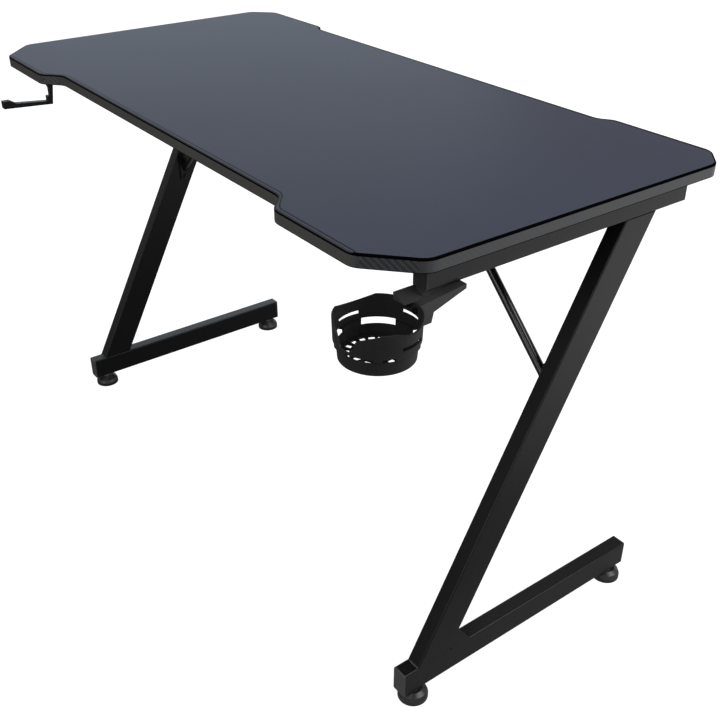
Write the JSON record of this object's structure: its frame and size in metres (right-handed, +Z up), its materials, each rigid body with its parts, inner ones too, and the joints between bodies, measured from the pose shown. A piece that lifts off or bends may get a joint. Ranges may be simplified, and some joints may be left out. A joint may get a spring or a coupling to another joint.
{
  "type": "gaming desk",
  "caption": "Gaming desk: a shaped board on Z-shaped steel side frames with braces and levelling feet, a cup holder at the right front corner and a headphone hook at the left",
  "frame": {"origin": "on the floor, under the middle of the tabletop's full length and depth", "axes": "+X to the right of a user who faces the desk, along its length; +Y away from the user; +Z up"},
  "size_m": [1.2149, 0.6342, 0.7575],
  "materials": {
    "board_core": "pressed chipboard",
    "board_film": "matt slate film with a faint grain",
    "backing_film": "plain matt film",
    "edge_film": "dark band with a woven print and a black top rim",
    "frame_paint": "black powder coat, fine texture",
    "cap_plastic": "moulded, satin",
    "fastener_steel": "black oxide",
    "foot_plastic": "moulded, satin",
    "stud_steel": "zinc plated",
    "fitting_plastic": "moulded, fine texture"
  },
  "bodies": {
    "frame": {"tabletop_core": "board_core", "tabletop_laminate": "board_film", "tabletop_backing": "backing_film", "tabletop_edge_band": "edge_film", "left_top_bar": "frame_paint", "right_top_bar": "frame_paint", "left_base_bar": "frame_paint", "right_base_bar": "frame_paint", "left_sloping_leg": "frame_paint", "right_sloping_leg": "frame_paint", "right_leg_gusset": "frame_paint", "cross_beam": "frame_paint", "beam_end_plates": "frame_paint", "left_brace": "frame_paint", "right_brace": "frame_paint", "brace_tabs": "frame_paint", "top_bar_end_caps": "cap_plastic", "base_bar_end_caps": "cap_plastic", "beam_bolts": "fastener_steel", "brace_bolts": "fastener_steel", "tabletop_screws": "fastener_steel", "cup_holder_screws": "fastener_steel", "basket_screws": "fastener_steel", "hook_screws": "fastener_steel", "foot_bushes": "stud_steel", "cup_holder_basket": "fitting_plastic", "cup_holder_arm": "fitting_plastic", "headphone_hook": "fitting_plastic"},
    "front_left_foot_pad": {"front_left_foot_pad": "foot_plastic"},
    "front_left_foot_stud": {"front_left_foot_stud": "stud_steel"},
    "back_left_foot_pad": {"back_left_foot_pad": "foot_plastic"},
    "back_left_foot_stud": {"back_left_foot_stud": "stud_steel"},
    "front_right_foot_pad": {"front_right_foot_pad": "foot_plastic"},
    "front_right_foot_stud": {"front_right_foot_stud": "stud_steel"},
    "back_right_foot_pad": {"back_right_foot_pad": "foot_plastic"},
    "back_right_foot_stud": {"back_right_foot_stud": "stud_steel"}
  },
  "joints": [
    {"name": "front_left_foot_rise", "type": "slide", "parent": "frame", "child": "front_left_foot_pad", "axis": [0, 0, -1], "range_m": [0, 0.01]},
    {"name": "front_left_foot_turn", "type": "hinge", "parent": "front_left_foot_pad", "child": "front_left_foot_stud", "pos_m": [-0.556, -0.202, 0], "axis": [0, 0, -1], "range_deg": [0, 2970]},
    {"name": "back_left_foot_rise", "type": "slide", "parent": "frame", "child": "back_left_foot_pad", "axis": [0, 0, -1], "range_m": [0, 0.01]},
    {"name": "back_left_foot_turn", "type": "hinge", "parent": "back_left_foot_pad", "child": "back_left_foot_stud", "pos_m": [-0.556, 0.2335, 0], "axis": [0, 0, -1], "range_deg": [0, 2970]},
    {"name": "front_right_foot_rise", "type": "slide", "parent": "frame", "child": "front_right_foot_pad", "axis": [0, 0, -1], "range_m": [0, 0.01]},
    {"name": "front_right_foot_turn", "type": "hinge", "parent": "front_right_foot_pad", "child": "front_right_foot_stud", "pos_m": [0.556, -0.202, 0], "axis": [0, 0, -1], "range_deg": [0, 2970]},
    {"name": "back_right_foot_rise", "type": "slide", "parent": "frame", "child": "back_right_foot_pad", "axis": [0, 0, -1], "range_m": [0, 0.01]},
    {"name": "back_right_foot_turn", "type": "hinge", "parent": "back_right_foot_pad", "child": "back_right_foot_stud", "pos_m": [0.556, 0.2335, 0], "axis": [0, 0, -1], "range_deg": [0, 2970]}
  ],
  "couplings": [
    {"joint": "front_left_foot_turn", "follows": "front_left_foot_rise", "rad_per_m": 5026.5},
    {"joint": "back_left_foot_turn", "follows": "back_left_foot_rise", "rad_per_m": 5026.5},
    {"joint": "front_right_foot_turn", "follows": "front_right_foot_rise", "rad_per_m": 5026.5},
    {"joint": "back_right_foot_turn", "follows": "back_right_foot_rise", "rad_per_m": 5026.5}
  ]
}
